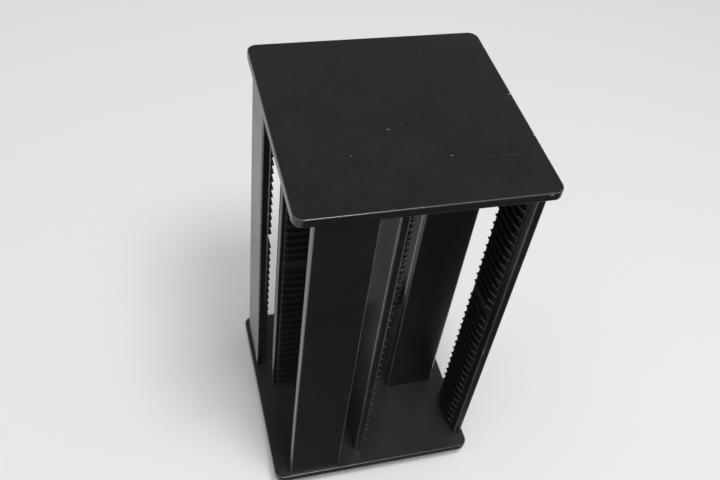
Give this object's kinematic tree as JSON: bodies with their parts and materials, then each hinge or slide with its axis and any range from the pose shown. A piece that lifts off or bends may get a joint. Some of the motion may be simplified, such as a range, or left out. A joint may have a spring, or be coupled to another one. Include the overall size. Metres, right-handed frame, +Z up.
{
  "type": "revolving cd tower",
  "caption": "Free-standing square tower for compact discs: boards in a pinwheel between two plates, with ledge rails across each open bay, turning on a round foot.",
  "frame": {"origin": "centre of the foot on the floor, on the turning axis, which is the centre of the bounding box's underside", "axes": "+Z up along the turning axis; -Y out of the side that the picture shows as the front, +X to the right of it"},
  "size_m": [0.305, 0.305, 0.5891],
  "materials": {
    "black_paint": "pressed-fibre board with satin black paint, slightly grained, chipped at the edges",
    "black_plastic": "moulded, satin black",
    "zinc_steel": "zinc plated",
    "rubber": "matt black"
  },
  "bodies": {
    "foot": {"foot_board": "black_paint", "foot_pad_1": "rubber", "foot_pad_2": "rubber", "foot_pad_3": "rubber", "foot_pad_4": "rubber", "turntable_lower_ring": "zinc_steel", "lower_ring_screw_1": "zinc_steel", "lower_ring_screw_2": "zinc_steel", "lower_ring_screw_3": "zinc_steel", "ball_cage": "zinc_steel", "pivot_bolt": "zinc_steel", "pivot_washer": "zinc_steel", "pivot_nut": "zinc_steel"},
    "tower": {"top_plate": "black_paint", "base_plate": "black_paint", "turntable_upper_ring": "zinc_steel", "upper_ring_screw_1": "zinc_steel", "upper_ring_screw_2": "zinc_steel", "upper_ring_screw_3": "zinc_steel", "outer_front_board": "black_paint", "inner_front_board": "black_paint", "outer_right_board": "black_paint", "inner_right_board": "black_paint", "outer_back_board": "black_paint", "inner_back_board": "black_paint", "outer_left_board": "black_paint", "inner_left_board": "black_paint", "outer_front_rail_upper": "black_plastic", "inner_front_rail_upper": "black_plastic", "outer_right_rail_upper": "black_plastic", "inner_right_rail_upper": "black_plastic", "outer_back_rail_upper": "black_plastic", "inner_back_rail_upper": "black_plastic", "outer_left_rail_upper": "black_plastic", "inner_left_rail_upper": "black_plastic", "outer_front_rail_lower": "black_plastic", "inner_front_rail_lower": "black_plastic", "outer_right_rail_lower": "black_plastic", "inner_right_rail_lower": "black_plastic", "outer_back_rail_lower": "black_plastic", "inner_back_rail_lower": "black_plastic", "outer_left_rail_lower": "black_plastic", "inner_left_rail_lower": "black_plastic", "outer_front_screw_1": "zinc_steel", "outer_front_screw_2": "zinc_steel", "inner_front_screw_1": "zinc_steel", "inner_front_screw_2": "zinc_steel", "outer_right_screw_1": "zinc_steel", "outer_right_screw_2": "zinc_steel", "inner_right_screw_1": "zinc_steel", "inner_right_screw_2": "zinc_steel", "outer_back_screw_1": "zinc_steel", "outer_back_screw_2": "zinc_steel", "inner_back_screw_1": "zinc_steel", "inner_back_screw_2": "zinc_steel", "outer_left_screw_1": "zinc_steel", "outer_left_screw_2": "zinc_steel", "inner_left_screw_1": "zinc_steel", "inner_left_screw_2": "zinc_steel"}
  },
  "joints": [
    {"name": "tower_turn", "type": "hinge", "parent": "foot", "child": "tower", "pos_m": [0, 0, 0.0159], "axis": [0, 0, 1], "continuous": true}
  ]
}
